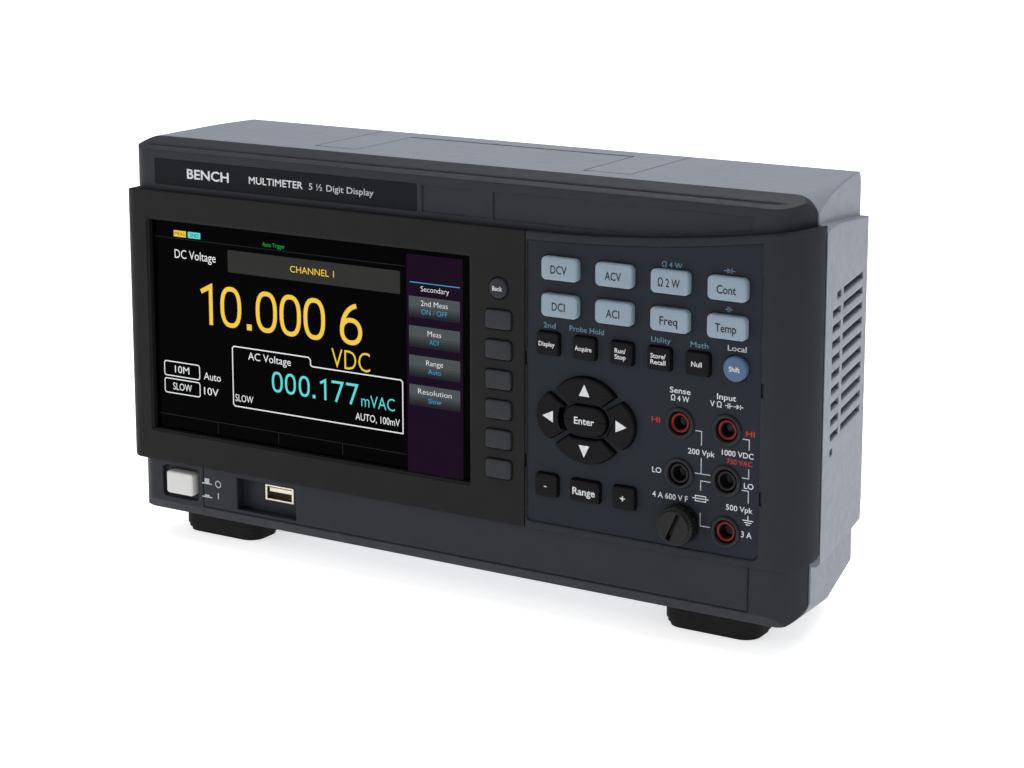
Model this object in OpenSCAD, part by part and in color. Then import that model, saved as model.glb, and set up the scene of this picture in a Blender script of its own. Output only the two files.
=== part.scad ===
// Bench multimeter: front-panel case, keys, jacks, display, boards, cover and carry handle.
// Millimetres. X runs to the right seen from the front, Y to the back, Z up. Feet stand on Z = 0.

/* [Case] */
// width over the raised front band
band_w = 312; // [300:0.5:325]
// width of the recessed strips and the upper cover
strip_w = 305; // [294:0.5:318]
// height of the cover top above the table
top_z = 170.5; // [160:0.5:180]
// height of the case underside above the table
base_z = 11.5; // [8:0.5:16]
// depth from the front band to the rear face
case_d = 77; // [72:0.5:95]
// how far the strips sit behind the band
strip_set = 3; // [2:0.25:4]
// where the front bezel meets the rear cover
split_y = 12.5; // [11:0.25:14]
// cover wall thickness
wall = 2.5; // [2:0.25:3.5]
// inward draft of the cover sides
side_draft = 10; // [0:0.1:11]
// upward draft of the cover underside
base_draft = 5; // [0:0.5:7]

/* [Front band] */
// underside of the raised band
band_low = 34.5; // [30:0.5:38]
// top of the band at the display
band_high = 149.5; // [145:0.5:154]
// radius of the rising top edge over the keypad
arch_r = 622; // [500:1:900]
// where the display bezel meets the keypad frame
seam_x = 39.1; // [37:0.1:41]

/* [Display] */
// width of the display opening
open_w = 157; // [150:0.5:160]
// height of the display opening
open_h = 89.5; // [86:0.5:94]
// centre of the display across the front
disp_x = -64; // [-70:0.5:-58]
// centre of the display above the table
disp_z = 92.6; // [88:0.1:97]

/* [Keys] */
// clearance round a key in its hole
key_gap = 0.35; // [0.3:0.05:0.6]
// how far the keypad keys stand out of the band
key_proud = 2.2; // [1:0.1:3]
// how far the soft keys stand out of the bezel
soft_proud = 1.2; // [0.6:0.1:2]
// column pitch of the function keys
fn_pitch_x = 22.9; // [21:0.1:24]
// row pitch of the function keys
fn_pitch_z = 14; // [13:0.1:15]
// pitch of the small square keys
sq_pitch = 15.6; // [14:0.1:16.5]
// pitch of the soft keys
soft_pitch = 11.7; // [11:0.1:12.5]

/* [Jacks] */
// spacing of the banana jacks, both ways
jack_pitch = 19.05; // [19.05:0.01:19.05]
// bore radius of a 4 mm banana jack
jack_bore_r = 2; // [2:0.01:2.05]
// column of the sense jacks
sense_x = 104.7; // [102:0.1:107]
// height of the lowest jack row
jack_low_z = 46.4; // [44:0.1:49]

/* [Handle] */
// outer width of the carry handle
grip_w = 143.4; // [130:0.1:150]
// width of a handle arm
arm_w = 19.4; // [15:0.1:22]
// handle thickness
grip_t = 9; // [7:0.5:10]
// width of the grip bar, front to back
bar_d = 14; // [12:0.5:16]
// pivot distance behind the front
pivot_y = 29; // [27:0.5:32]
// pivot pin radius
pin_r = 2.5; // [2:0.1:3]

/* [Vents] */
// pitch of the vent slots
vent_pitch = 5.73; // [5:0.01:6.5]
// height of a vent slot
vent_h = 2.6; // [2:0.1:3]
// centre height of the top slot
vent_top_z = 131.9; // [128:0.1:136]

/* [Hidden] */
$fn = 48;
round_n = 96;
arc_n = 720;
strip_half = strip_w / 2;
band_half = band_w / 2;
front_y = -6.2;
rear_y = case_d + 1.2;
mid_y = (front_y + rear_y) / 2;
arch_z = band_high + arch_r;
rear_in = (case_d - split_y) * tan(side_draft);
rear_lift = (case_d - split_y) * tan(base_draft);
skin_t = 1.2;
skin_y = 0.4;
ledge_y = skin_y + skin_t;
frame_t = 3;
frame_back = strip_set + frame_t;
lens_t = 1.2;
lcd_w = 160.5;
lcd_h = 95;
lcd_t = 5.5;
lcd_y = strip_set + lens_t;
rubber_y = frame_back;
rubber_t = 1.2;
board_y = rubber_y + rubber_t;
board_t = 1.6;
flange_y = 2;
flange_t = 1.4;
soft_flange_y = 3.4;
soft_flange_t = 1;
skin_x0 = 40.2;
skin_x1 = 136.8;
skin_z0 = 37.5;
fn_x = 55;
fn_z = 122.7;
sq_x = 49.8;
sq_z = 107.8;
soft_x = 27.8;
soft_z = 55.8;
nav_x = 66;
nav_z = 80.2;
nav_r = 16.5;
side_r = 10.1;
side_off = 10.8;
nav_cut = 34.3;
row_z = 52.9;
minus_x = 49.4;
range_x = 66;
plus_x = 82.5;
back_z = 126.4;
input_x = sense_x + jack_pitch;
mid_jack_z = jack_low_z + jack_pitch;
high_jack_z = jack_low_z + 2 * jack_pitch;
ring_r = 5.9;
barrel_r = 5.2;
fuse_x = sense_x + 1;
fuse_z = jack_low_z + 0.4;
fuse_bore_r = 5.6;
knob_r = 7.4;
power_x = -130.4;
power_z = 25.1;
usb_x = -83.3;
usb_z = 26.1;
usb_y = 8;
arm_x = grip_w / 2;
arm_in = arm_x - arm_w;
grip_top = top_z;
grip_low = top_z - grip_t;
pivot_z = top_z - 5;
end_r = 7.7;
pocket_gap = 0.5;
pocket_floor = pivot_z - end_r - 0.5;
grip_rear = case_d - 0.4;
bar_front = grip_rear - bar_d;
main_z = 36;
screw_r = 1.5;
head_r = 3;
post_r = 4.5;
post_split_y = 58;
cover_posts = [[-111.4, 24], [130, 26], [-110, 159], [110, 159]];
board_posts = [[-130, 42], [-36, 42], [-130, 66], [-36, 66], [-12, 24], [84, 24], [-12, 66], [84, 66]];
foot_w = 40;
foot_d = 22;
foot_spots = [[-121, 14.5], [110, 14.5], [-116, 50], [110, 50]];

// shifts the instrument so that the row origin is under its middle
module place() translate([0, -mid_y, 0]) children();

// extrudes a front-view shape from y0 back to y1
module slab(y0, y1) translate([0, y1, 0]) rotate([90, 0, 0]) linear_extrude(y1 - y0) children();

// extrudes a side-view shape from x0 to x1
module rail(x0, x1) translate([x0, 0, 0]) rotate([90, 0, 90]) linear_extrude(x1 - x0) children();

module bite(x, z, sx, sz, r) if (r > 0) translate([x + sx * r, z + sz * r]) difference() {
    translate([sx < 0 ? 0 : -r - 1, sz < 0 ? 0 : -r - 1]) square(r + 1);
    circle(r);
}

// rectangle with its own radius at each corner: low left, low right, top right, top left
module soft_box(x0, z0, x1, z1, r) difference() {
    translate([x0, z0]) square([x1 - x0, z1 - z0]);
    bite(x0, z0, 1, 1, r[0]);
    bite(x1, z0, -1, 1, r[1]);
    bite(x1, z1, -1, -1, r[2]);
    bite(x0, z1, 1, -1, r[3]);
}

// centred rectangle with equal corners, grown by g
module pad(w, h, r, g = 0) {
    a = w / 2 + g;
    b = h / 2 + g;
    soft_box(-a, -b, a, b, [r + g, r + g, r + g, r + g]);
}

module rod(x, z, r, y0, y1) translate([x, y1, z]) rotate([90, 0, 0]) cylinder(r = r, h = y1 - y0, $fn = round_n);

module block(x0, x1, y0, y1, z0, z1) translate([x0, y0, z0]) cube([x1 - x0, y1 - y0, z1 - z0]);

// ---------- outlines ----------

module strip_outline(g = 0)
    soft_box(-strip_half + g, base_z + g, strip_half - g, top_z - g, [5 - g, 12 - g, 9 - g, 8 - g]);

module strip_plan(g = 0, y0 = strip_set)
    soft_box(-strip_half + g, y0, strip_half - g, split_y + 1, [7 - g, 14 - g, 0, 0]);

module band_plan(g = 0) soft_box(-band_half + g, g, band_half - g, split_y + 1, [7 - g, 16 - g, 0, 0]);

// section of the front bezel: lower lip, upright face and the sloping top band
module bezel_section() polygon([[strip_set, base_z + 4.5], [strip_set + 3, base_z], [split_y, base_z],
    [split_y, top_z], [strip_set, top_z - 4.5]]);

module under_arch(drop = 0) difference() {
    children();
    translate([seam_x, arch_z - drop]) circle(r = arch_r, $fn = arc_n);
}

module skin_outline(g = 0) under_arch(3.3 - g) soft_box(skin_x0 - g, skin_z0 - g, skin_x1 + g, 170,
    [1.5, 3, 0, 0]);

module fn_outline(g = 0) pad(15.5, 8.8, 2, g);
module sq_outline(g = 0) pad(9.4, 8.6, 1.2, g);
module soft_outline(g = 0) pad(11.4, 7.4, 1.4, g);
module range_outline(g = 0) pad(12.4, 8.2, 1.2, g);
module enter_outline(g = 0) pad(18.3, 11.2, 5.59, g);

// one sector of the arrow ring, turned to face a
module wedge(a, half) rotate(a) polygon([[0, 0], [40, 40 * tan(half)], [40, -40 * tan(half)]]);

module up_outline(g = 0) difference() {
    intersection() {
        circle(nav_r + g, $fn = round_n);
        translate([0, 1.1 - 1.5 * g]) wedge(90, 90 - nav_cut - 3);
    }
    enter_outline(1.5 - g);
}

module side_outline(g = 0) difference() {
    intersection() {
        translate([side_off, 0]) circle(side_r + g, $fn = round_n);
        translate([1.1 - 1.5 * g, 0]) wedge(0, nav_cut - 2);
    }
    enter_outline(1.5 - g);
}

// ---------- placed sets of outlines on the keypad ----------

module at(x, z) translate([x, z]) children();
module fn_spot(i, j) at(fn_x + i * fn_pitch_x, fn_z + j * fn_pitch_z) children();
module sq_spot(i) at(sq_x + i * sq_pitch, sq_z) children();

module pad_holes(g) {
    for (i = [0:3], j = [0:1]) fn_spot(i, j) fn_outline(g);
    for (i = [0:4]) sq_spot(i) sq_outline(g);
    at(sq_x + 5 * sq_pitch - 0.6, sq_z) circle(4.7 + g, $fn = round_n);
    at(nav_x, nav_z) enter_outline(g);
    at(nav_x, nav_z) for (m = [0, 1]) mirror([0, m]) up_outline(g);
    at(nav_x, nav_z) for (m = [0, 1]) mirror([m, 0]) side_outline(g);
    at(minus_x, row_z) sq_outline(g);
    at(range_x, row_z) range_outline(g);
    at(plus_x, row_z) sq_outline(g);
}

module jack_spots() {
    at(sense_x, mid_jack_z) children();
    at(sense_x, high_jack_z) children();
    for (k = [0:2]) at(input_x, jack_low_z + k * jack_pitch) children();
}

module panel_holes() {
    pad_holes(key_gap);
    jack_spots() circle(barrel_r + 0.1, $fn = round_n);
    at(fuse_x, fuse_z) circle(7.1, $fn = round_n);
}

module soft_holes(g) {
    for (k = [0:5]) at(soft_x, soft_z + k * soft_pitch) soft_outline(g);
    at(soft_x, back_z) circle(4 + g, $fn = round_n);
}

// ---------- front ----------

module front_frame() color([0.19, 0.2, 0.22]) place() {
    difference() {
        intersection() {
            slab(strip_set, split_y) strip_outline();
            linear_extrude(200) strip_plan();
            rail(-200, 200) bezel_section();
        }
        intersection() {
            slab(frame_back, split_y + 1) strip_outline(3);
            linear_extrude(200) strip_plan(3, frame_back);
        }
        slab(strip_set - 1, frame_back + 1) {
            pad_window();
            translate([disp_x, disp_z]) square([lcd_w + 1.5, lcd_h + 1.8], center = true);
            translate([soft_x, 92]) square([15, 86], center = true);
        }
        // inlay seats and shadow grooves in the two strips
        slab(strip_set - 1, strip_set + 1) plate_outline(0.1);
        slab(strip_set - 1, strip_set + 0.5) short_recess();
        slab(strip_set - 1, strip_set + 0.5) long_recess();
        slab(strip_set - 1, strip_set + 0.5) lower_groove();
        // power button pocket and its hole
        slab(strip_set - 1, 5) translate([power_x - 0.6, power_z]) pad(19, 13.8, 2);
        slab(4, 10) translate([power_x, power_z]) pad(14.8, 10.4, 1.6);
        // front USB pocket and its hole
        block(usb_x - 18, usb_x + 12.3, strip_set - 1, usb_y, usb_z - 8, usb_z + 5.6);
        block(usb_x - 7.4, usb_x + 7.4, usb_y - 1, usb_y + 3, usb_z - 3.5, usb_z + 3.5);
    }
    usb_pocket();
    switch_shelf();
    frame_posts();
    for (x = [-110, -20], s = [-1, 1]) display_clip(x, s);
}

module pad_window() under_arch(7) soft_box(43.5, 38.5, 133.5, 160, [2, 2, 0, 0]);

module plate_outline(g = 0) at(-75.5, 157.3) pad(129.2, 10.6, 0.8, g);
module short_recess() at(6.4, 157.3) pad(30, 10.6, 0.8);
module long_recess() intersection() {
    at(77.7, 157.3) pad(108.4, 10.6, 0.8);
    at(seam_x, arch_z + 1.2) circle(r = arch_r, $fn = arc_n);
}

module lower_groove() {
    at(6.5, 16.6) square([251, 0.6], center = true);
    at(-118.8, 25.4) square([0.6, 17.6], center = true);
    at(132, 25.4) square([0.6, 17.6], center = true);
}

module usb_pocket() difference() {
    block(usb_x - 19.5, usb_x + 13.8, strip_set + 0.5, usb_y + 1.6, usb_z - 9, usb_z + 7.1);
    block(usb_x - 18, usb_x + 12.3, strip_set - 1, usb_y, usb_z - 8, usb_z + 5.6);
    block(usb_x - 7.4, usb_x + 7.4, usb_y - 1, usb_y + 3, usb_z - 3.5, usb_z + 3.5);
}

module switch_shelf() block(power_x - 7, power_x + 7, frame_back - 1, 40, 16.6, 18.6);

module frame_posts() for (p = cover_posts) difference() {
    rod(p[0], p[1], post_r, frame_back - 1, post_split_y);
    rod(p[0], p[1], screw_r + 0.05, 44, post_split_y + 1);
}

// hook that holds the display module against its window
module display_clip(x, s) {
    edge = disp_z + s * (lcd_h / 2 + 0.9);
    far = disp_z + s * (lcd_h / 2 + 3.4);
    near = disp_z + s * (lcd_h / 2 - 2.5);
    block(x - 4, x + 4, frame_back - 1, lcd_y + lcd_t + 2, min(edge, far), max(edge, far));
    block(x - 4, x + 4, lcd_y + lcd_t, lcd_y + lcd_t + 2, min(near, far), max(near, far));
}

module display_bezel() color([0.13, 0.13, 0.13]) place() difference() {
    intersection() {
        slab(0, split_y) soft_box(-band_half, band_low, seam_x, band_high, [5, 0, 0, 5]);
        linear_extrude(200) band_plan();
    }
    // seat over the bezel's front face and its left end
    block(-strip_half, 200, strip_set, split_y + 1, 0, 200);
    slab(-1, strip_set + 1) translate([disp_x, disp_z]) pad(open_w, open_h, 0.6);
    slab(-1, 0.6) translate([disp_x, disp_z]) pad(open_w, open_h, 0.6, 0.8);
    slab(-1, strip_set + 1) soft_holes(key_gap);
}

module keypad_frame() color([0.17, 0.18, 0.19]) place() difference() {
    intersection() {
        slab(0, split_y) under_arch() soft_box(seam_x + 0.5, band_low, band_half, 170, [0, 8, 0, 0]);
        linear_extrude(200) band_plan();
    }
    intersection() {
        block(0, strip_half, strip_set, split_y + 1, 0, 200);
        linear_extrude(200) strip_plan();
    }
    slab(-1, ledge_y) skin_outline(0.15);
    slab(0, strip_set + 1) skin_outline(-2);
    for (z = [101, 61]) block(skin_x0 - 1.2, skin_x0, -1, 0.8, z - 2.6, z + 2.6);
    for (z = [101, 61]) block(skin_x1, skin_x1 + 1.2, -1, 0.8, z - 2.6, z + 2.6);
}

module keypad_panel() color([0.2, 0.22, 0.24]) place() slab(skin_y, ledge_y) difference() {
    skin_outline();
    panel_holes();
}

module title_plate() color([0.12, 0.12, 0.13]) place() slab(strip_set + 0.2, strip_set + 1) plate_outline();

// ---------- display and boards ----------

module display_window() color([0.1, 0.1, 0.12, 0.4]) place()
    slab(strip_set, lcd_y) translate([disp_x, disp_z]) pad(lcd_w + 0.9, lcd_h + 0.6, 1);

module display_module() color([0.55, 0.57, 0.6]) place()
    slab(lcd_y, lcd_y + lcd_t) translate([disp_x, disp_z]) pad(lcd_w, lcd_h, 1);

module key_field() {
    translate([20.6, 48.6]) square([23.4, 86]);
    translate([43.9, 44]) square([48.6, 98]);
    translate([92.4, 100]) square([40, 43]);
}

module key_membrane() color([0.3, 0.32, 0.34]) place() slab(rubber_y, rubber_y + rubber_t) key_field();

module key_board() color([0.1, 0.35, 0.2]) place() {
    slab(board_y, board_y + board_t) key_field();
    block(60, 84, board_y + board_t, board_y + board_t + 3, 110, 128);
}

module board_with_posts(x0, x1, holes) difference() {
    block(x0, x1, 15, 73, main_z, main_z + board_t);
    for (p = holes) translate([p[0], p[1], main_z - 1]) cylinder(r = screw_r + 0.3, h = 5);
}

module main_board() color([0.08, 0.33, 0.2]) place() {
    board_with_posts(-20, 94, [[-12, 24], [84, 24], [-12, 66], [84, 66]]);
    block(4, 26, 28, 50, main_z + board_t, main_z + board_t + 3);
    block(34, 50, 26, 44, main_z + board_t, main_z + board_t + 9);
    block(58, 74, 26, 38, main_z + board_t, main_z + board_t + 11);
    translate([66, 50, main_z + board_t]) cylinder(r = 5, h = 16);
}

module supply_board() color([0.1, 0.3, 0.42]) place() {
    board_with_posts(-136, -28, [[-130, 42], [-36, 42], [-130, 66], [-36, 66]]);
    block(-88, -52, 34, 64, main_z + board_t, main_z + board_t + 26);
    translate([-42, 30, main_z + board_t]) cylinder(r = 7, h = 24);
    translate([-42, 50, main_z + board_t]) cylinder(r = 7, h = 24);
    block(-128, -112, 24, 34, main_z + board_t, main_z + board_t + 15);
}

module power_switch() color([0.12, 0.12, 0.12]) place()
    block(power_x - 6, power_x + 6, 24.5, 38, 18.6, 31);

module power_button() color([0.86, 0.86, 0.84]) place() {
    slab(1.2, 8.5) at(power_x, power_z) pad(14, 9.6, 1.2);
    slab(8.5, 9.5) at(power_x, power_z) pad(14, 9.6, 1.2, 1);
    block(power_x - 2, power_x + 2, 9.5, 20.5, power_z - 2, power_z + 2);
}

module usb_socket() color([0.75, 0.72, 0.62]) place() {
    difference() {
        block(usb_x - 7.2, usb_x + 7.2, usb_y + 0.1, 24, usb_z - 3.3, usb_z + 3.3);
        block(usb_x - 6.3, usb_x + 6.3, usb_y - 1, 20, usb_z - 2.6, usb_z + 2.6);
    }
    block(usb_x - 5.6, usb_x + 5.6, usb_y + 1, 21, usb_z + 0.3, usb_z + 2);
}

// ---------- jacks and fuse ----------

module banana_jack(x, z) {
    difference() {
        union() {
            rod(x, z, ring_r, -0.4, skin_y);
            rod(x, z, barrel_r, skin_y, 20);
        }
        rod(x, z, barrel_r - 0.9, -1, 14);
    }
    difference() {
        rod(x, z, 3.1, 0.6, 14.5);
        rod(x, z, jack_bore_r, 0, 14);
    }
    block(x - 1, x + 1, 19.5, 26, z - 0.5, z + 0.5);
}

module sense_high_jack() color([0.6, 0.06, 0.08]) place() banana_jack(sense_x, high_jack_z);
module sense_low_jack() color([0.06, 0.06, 0.06]) place() banana_jack(sense_x, mid_jack_z);
module input_high_jack() color([0.6, 0.06, 0.08]) place() banana_jack(input_x, high_jack_z);
module input_low_jack() color([0.06, 0.06, 0.06]) place() banana_jack(input_x, mid_jack_z);
module current_jack() color([0.6, 0.06, 0.08]) place() banana_jack(input_x, jack_low_z);

module fuse_holder() color([0.08, 0.08, 0.08]) place() difference() {
    union() {
        rod(fuse_x, fuse_z, 7.8, 0, skin_y);
        rod(fuse_x, fuse_z, 7, skin_y, 41);
        block(fuse_x - 1.5, fuse_x + 1.5, 41, 45, fuse_z - 0.5, fuse_z + 0.5);
    }
    rod(fuse_x, fuse_z, fuse_bore_r, -1, 39);
}

module fuse_cap() color([0.1, 0.1, 0.1]) place() difference() {
    union() {
        rod(fuse_x, fuse_z, knob_r, -5.4, -0.4);
        rod(fuse_x, fuse_z, knob_r - 1, front_y, -5.4);
        rod(fuse_x, fuse_z, 5.2, -0.4, 28);
    }
    rod(fuse_x, fuse_z, 3.4, 3, 29);
    slab(front_y - 1, -4) at(fuse_x, fuse_z) rotate(66) square([11, 1.8], center = true);
}

module fuse() color([0.8, 0.8, 0.78]) place() rod(fuse_x, fuse_z, 3.17, 3, 34.8);

// ---------- rear cover ----------

module cover_plan(half, g) intersection() {
    polygon([[-half + g, split_y - 1], [half - g, split_y - 1], [half - rear_in - g, case_d - g],
        [g + rear_in - half, case_d - g]]);
    soft_box(-half, 0, half, case_d - g, [0, 0, 9, 9]);
}

module cover_section(g) difference() {
    polygon([[split_y - (g > 0 ? 1 : 0), base_z + g], [split_y - (g > 0 ? 1 : 0), top_z - g],
        [case_d - g, top_z - g], [case_d - g, base_z + rear_lift + g]]);
    bite(case_d - g, top_z - g, -1, -1, 5 - g);
}

module upper_form(g) intersection() {
    slab(split_y - 1, case_d) strip_outline(g);
    linear_extrude(200) cover_plan(strip_half, g);
    rail(-200, 200) cover_section(g);
}

// wide lower body: right side falls to the rear from the band's high corner
module wide_form(g) intersection() {
    union() {
        intersection() {
            slab(0, case_d) soft_box(0, band_low + g, band_half, 200, [0, 3, 0, 0]);
            translate([0, split_y, 160.6]) rotate([-6.6, 0, 0]) translate([0, -split_y, -160.6])
                slab(0, 90) soft_box(0, 0, band_half - g, 160.6 - g, [0, 0, 4.5, 0]);
        }
        slab(0, case_d) soft_box(-band_half + g, band_low + g, 0, band_high - g, [3, 0, 0, 4.5]);
    }
    linear_extrude(200) cover_plan(band_half, g);
    rail(-200, 200) cover_section(g);
}

// space the handle folds into, grown by g for the walls under it
module handle_pocket(g) {
    for (m = [0, 1]) mirror([m, 0, 0]) block(arm_in - pocket_gap - g, arm_x + pocket_gap + g,
        pivot_y - end_r - pocket_gap - g, case_d + 1, pocket_floor - g, top_z + 1);
    block(-arm_x - g, arm_x + g, bar_front - 2 - g, case_d + 1, pocket_floor - g, top_z + 1);
}

module finger_scoop(g) block(-36 - g, 36 + g, bar_front - 2 - g, case_d + 1, pocket_floor - 8 - g, top_z);

module side_vents() for (s = [-1, 1]) {
    for (k = [0:9]) vent(s, k, 39, 69.4);
    for (k = [1:9]) vent(s, k, 23, 35);
    vent(s, 0, 29, 35);
    vent(s, 10, 23, 27);
}

module vent(s, k, y0, y1) {
    z = vent_top_z - k * vent_pitch;
    block(min(s * 140, s * 160), max(s * 140, s * 160), y0, y1, z - vent_h / 2, z + vent_h / 2);
}

module rear_ports() slab(case_d - 6, case_d + 1) {
    at(-108, 62) pad(28, 22, 2);
    at(12, main_z + board_t + 5.5) square([12.6, 11.6], center = true);
    at(44, main_z + board_t + 6.7) square([16.6, 14], center = true);
}

module rear_slots() for (k = [0:9]) block(-44 + k * 5, -41.6 + k * 5, case_d - 5, case_d + 1, 78, 104);

module cover_shell() difference() {
    union() {
        upper_form(0);
        wide_form(0);
    }
    difference() {
        union() {
            upper_form(wall);
            wide_form(wall);
        }
        handle_pocket(wall);
        finger_scoop(wall);
    }
    handle_pocket(0);
    finger_scoop(0);
    side_vents();
    rear_ports();
    rear_slots();
}

module cover_posts_solid() for (p = cover_posts) rod(p[0], p[1], post_r, post_split_y + 0.2, case_d - 1);

module cover_bosses() intersection() {
    for (p = board_posts) translate([p[0], p[1], base_z]) cylinder(r = 3.2, h = main_z - base_z);
    upper_form(0.5);
}

module pin_cheeks() for (m = [0, 1]) mirror([m, 0, 0]) {
    block(arm_in - pocket_gap - 5, arm_in - pocket_gap, pivot_y - 6, pivot_y + 6, pocket_floor - wall, top_z - 1);
    block(arm_x + pocket_gap, arm_x + pocket_gap + 5, pivot_y - 6, pivot_y + 6, pocket_floor - wall, top_z - 1);
}

module pin_bore(r, x1) for (m = [0, 1]) mirror([m, 0, 0]) translate([arm_in - pocket_gap - 3, pivot_y, pivot_z])
    rotate([0, 90, 0]) cylinder(r = r, h = x1 - arm_in + pocket_gap + 3, $fn = round_n);

module rear_cover() color([0.6, 0.63, 0.68]) place() difference() {
    union() {
        cover_shell();
        cover_posts_solid();
        cover_bosses();
        pin_cheeks();
    }
    for (p = cover_posts) {
        rod(p[0], p[1], screw_r + 0.3, post_split_y - 1, case_d + 1);
        rod(p[0], p[1], head_r + 0.3, case_d - 3.5, case_d + 1);
    }
    for (p = board_posts) translate([p[0], p[1], main_z - 8]) cylinder(r = 1.2, h = 9);
    pin_bore(pin_r + 0.01, arm_x + pocket_gap + 3);
}

module mains_inlet() color([0.1, 0.1, 0.1]) place() at_rear(-108, 62) {
    difference() {
        union() {
            slab(case_d, case_d + 1.2) pad(31, 25, 3);
            slab(case_d - 19, case_d) pad(27.4, 21.4, 1.7);
        }
        slab(case_d - 15, case_d + 2) pad(24.4, 16.6, 3);
    }
    for (x = [-7, 0, 7]) translate([x - 1, case_d - 16, x == 0 ? 0 : -3]) cube([2, 13, 4]);
}

module at_rear(x, z) translate([x, 0, z]) children();

module data_socket() color([0.75, 0.74, 0.7]) place() difference() {
    block(6, 18, case_d - 16, case_d + 0.4, main_z + board_t, main_z + board_t + 11);
    block(7.8, 16.2, case_d - 9, case_d + 1, main_z + board_t + 1.6, main_z + board_t + 9.4);
}

module network_socket() color([0.72, 0.73, 0.75]) place() difference() {
    block(36, 52, case_d - 19, case_d + 0.4, main_z + board_t, main_z + board_t + 13.4);
    block(38.2, 49.8, case_d - 12, case_d + 1, main_z + board_t + 2.4, main_z + board_t + 10.4);
}

// ---------- handle, feet, fasteners ----------

module arm_side() {
    intersection() {
        translate([pivot_y, pivot_z]) circle(end_r, $fn = round_n);
        translate([pivot_y - 10, grip_low]) square([20, grip_t]);
    }
    difference() {
        translate([pivot_y, grip_low]) square([grip_rear - pivot_y, grip_t]);
        bite(grip_rear, grip_top, -1, -1, 4.5);
        bite(grip_rear, grip_low, -1, 1, 2);
    }
}

module handle() color([0.62, 0.65, 0.7]) place() difference() {
    union() {
        rail(arm_in, arm_x) arm_side();
        mirror([1, 0, 0]) rail(arm_in, arm_x) arm_side();
        intersection() {
            rail(-arm_x, arm_x) arm_side();
            block(-arm_x, arm_x, bar_front, case_d, 0, 200);
        }
    }
    pin_bore(pin_r + 0.06, arm_x + 1);
}

module handle_pins() color([0.7, 0.71, 0.72]) place() for (m = [0, 1]) mirror([m, 0, 0])
    translate([arm_in - pocket_gap - 2.8, pivot_y, pivot_z]) rotate([0, 90, 0])
        cylinder(r = pin_r, h = arm_w + 2 * pocket_gap + 5.6, $fn = round_n);

module foot_plan(g) pad(foot_w - 2 * g, foot_d - 2 * g, 8 - g);

module foot(p) difference() {
    translate([p[0], p[1] + foot_d / 2, 0]) union() {
        linear_extrude(1.6) foot_plan(1.6);
        translate([0, 0, 1.6]) linear_extrude(1.6) foot_plan(0.6);
        translate([0, 0, 3.2]) linear_extrude(16) foot_plan(0);
    }
    rail(-200, 200) cover_section(0);
}

module feet() color([0.05, 0.05, 0.05]) place() for (p = foot_spots) foot(p);

module cover_screws() color([0.62, 0.63, 0.65]) place() for (p = cover_posts) difference() {
    union() {
        rod(p[0], p[1], head_r, case_d - 3.5, case_d - 1);
        rod(p[0], p[1], screw_r, 48, case_d - 3.5);
    }
    slab(case_d - 2, case_d) at(p[0], p[1]) square([3.4, 0.8], center = true);
    slab(case_d - 2, case_d) at(p[0], p[1]) square([0.8, 3.4], center = true);
}

// ---------- keys ----------

// cap with a small front step, straight sides and a retaining flange behind the panel
module cap(y0, y1, y2) {
    slab(y0 + 0.4, y2) children(0);
    slab(y0, y0 + 0.4) children(1);
    slab(y1, y2) children(2);
}

module fn_key(i, j) color([0.62, 0.68, 0.74]) place() cap(-key_proud, flange_y, flange_y + flange_t) {
    fn_spot(i, j) fn_outline();
    fn_spot(i, j) fn_outline(-0.5);
    fn_spot(i, j) fn_outline(0.9);
}

module sq_key(x, z) color([0.1, 0.1, 0.11]) place() cap(-key_proud + 0.4, flange_y, flange_y + flange_t) {
    at(x, z) sq_outline();
    at(x, z) sq_outline(-0.4);
    at(x, z) sq_outline(0.9);
}

module soft_key(k) color([0.24, 0.25, 0.27]) place()
    cap(-soft_proud, soft_flange_y, soft_flange_y + soft_flange_t) {
        at(soft_x, soft_z + k * soft_pitch) soft_outline();
        at(soft_x, soft_z + k * soft_pitch) soft_outline(-0.4);
        at(soft_x, soft_z + k * soft_pitch) soft_outline(0.8);
    }

module round_key(x, z, r, y0, y1, y2) place() cap(y0, y1, y2) {
    at(x, z) circle(r, $fn = round_n);
    at(x, z) circle(r - 0.4, $fn = round_n);
    at(x, z) circle(r + 0.9, $fn = round_n);
}

module nav_key(mx, mz, kind) color([0.1, 0.1, 0.11]) place()
    cap(-key_proud + 0.4, flange_y, flange_y + flange_t) {
        nav_place(mx, mz, kind) nav_outline(kind, 0);
        nav_place(mx, mz, kind) nav_outline(kind, -0.35);
        nav_place(mx, mz, kind) nav_outline(kind, 0.4);
    }

module nav_place(mx, mz, kind) at(nav_x, nav_z) mirror([mx, 0]) mirror([0, mz]) children();

module nav_outline(kind, g) {
    if (kind == "rise") up_outline(g);
    if (kind == "side") side_outline(g);
}

module key_dc_volts() fn_key(0, 1);
module key_ac_volts() fn_key(1, 1);
module key_resistance() fn_key(2, 1);
module key_continuity() fn_key(3, 1);
module key_dc_current() fn_key(0, 0);
module key_ac_current() fn_key(1, 0);
module key_frequency() fn_key(2, 0);
module key_temperature() fn_key(3, 0);
module key_display() sq_key(sq_x, sq_z);
module key_acquire() sq_key(sq_x + sq_pitch, sq_z);
module key_run_stop() sq_key(sq_x + 2 * sq_pitch, sq_z);
module key_recall() sq_key(sq_x + 3 * sq_pitch, sq_z);
module key_null() sq_key(sq_x + 4 * sq_pitch, sq_z);
module key_minus() sq_key(minus_x, row_z);
module key_plus() sq_key(plus_x, row_z);
module key_shift() color([0.45, 0.6, 0.76])
    round_key(sq_x + 5 * sq_pitch - 0.6, sq_z, 4.7, -key_proud + 0.4, flange_y, flange_y + flange_t);
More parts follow.
